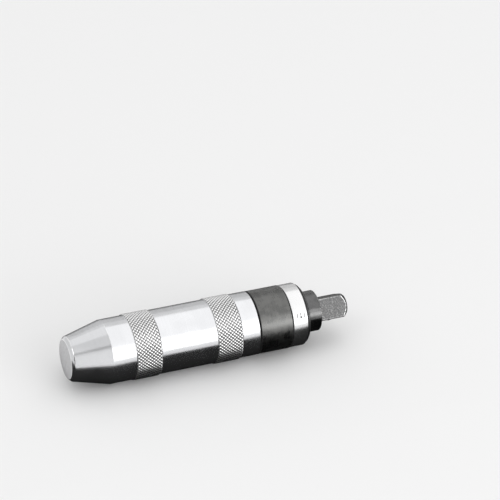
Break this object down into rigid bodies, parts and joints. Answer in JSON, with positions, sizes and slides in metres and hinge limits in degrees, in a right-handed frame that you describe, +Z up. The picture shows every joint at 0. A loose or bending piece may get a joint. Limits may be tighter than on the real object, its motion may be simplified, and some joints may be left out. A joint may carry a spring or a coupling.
{
  "type": "hand impact driver",
  "caption": "Hand impact driver: knurled steel body with a tapered striking tail, dark nose with a direction ring, and a sprung square drive that turns as it is pushed in.",
  "frame": {"origin": "on the ground under the middle of the tool's length, the tool lying on its knurled bands", "axes": "+X along the tool toward the square drive, +Z up, +Y to the left of a hand that holds it pointing along +X"},
  "size_m": [0.1652, 0.037, 0.037],
  "materials": {
    "satin_steel": "satin nickel over turned steel, knurled bands",
    "black_oxide": "dark oxide, satin",
    "silver_ring": "pale satin plating, stamped marks",
    "forged_black": "dark phosphate, glossier on the turned collar",
    "bare_steel": "ground steel",
    "spring_steel": "oiled spring wire",
    "bronze": "sintered bronze",
    "rubber": "black nitrile"
  },
  "bodies": {
    "housing": {"grip_body": "satin_steel", "nose_body": "black_oxide", "joint_seal": "rubber", "indicator_ring": "silver_ring", "ring_dowel": "bare_steel", "retaining_ring": "black_oxide", "nose_bush": "bronze", "wiper_seal": "rubber", "spring_seat": "bare_steel", "main_spring": "spring_steel"},
    "spring_carrier": {"spring_cap": "bare_steel", "thrust_ball": "bare_steel"},
    "spindle": {"drive_spindle": "forged_black", "cross_pin": "bare_steel", "spindle_o_ring": "rubber", "detent_spring": "spring_steel"},
    "detent": {"detent_ball": "bare_steel"}
  },
  "joints": [
    {"name": "spindle_stroke", "type": "slide", "parent": "housing", "child": "spring_carrier", "axis": [1, 0, 0], "range_m": [-0.008, 0], "stiffness_N_per_m": 5000, "springref_m": 0.006, "deforming": ["main_spring"]},
    {"name": "spindle_turn", "type": "hinge", "parent": "spring_carrier", "child": "spindle", "pos_m": [0.00543, 0, 0.0185], "axis": [1, 0, 0], "range_deg": [0, 20]},
    {"name": "detent_press", "type": "slide", "parent": "spindle", "child": "detent", "axis": [0, -0.5314, -0.8471], "range_m": [-0.0009, 0], "stiffness_N_per_m": 2500, "springref_m": 0.0008, "deforming": ["detent_spring"]}
  ],
  "couplings": [
    {"joint": "spindle_turn", "follows": "spindle_stroke", "rad_per_m": -43.63}
  ]
}
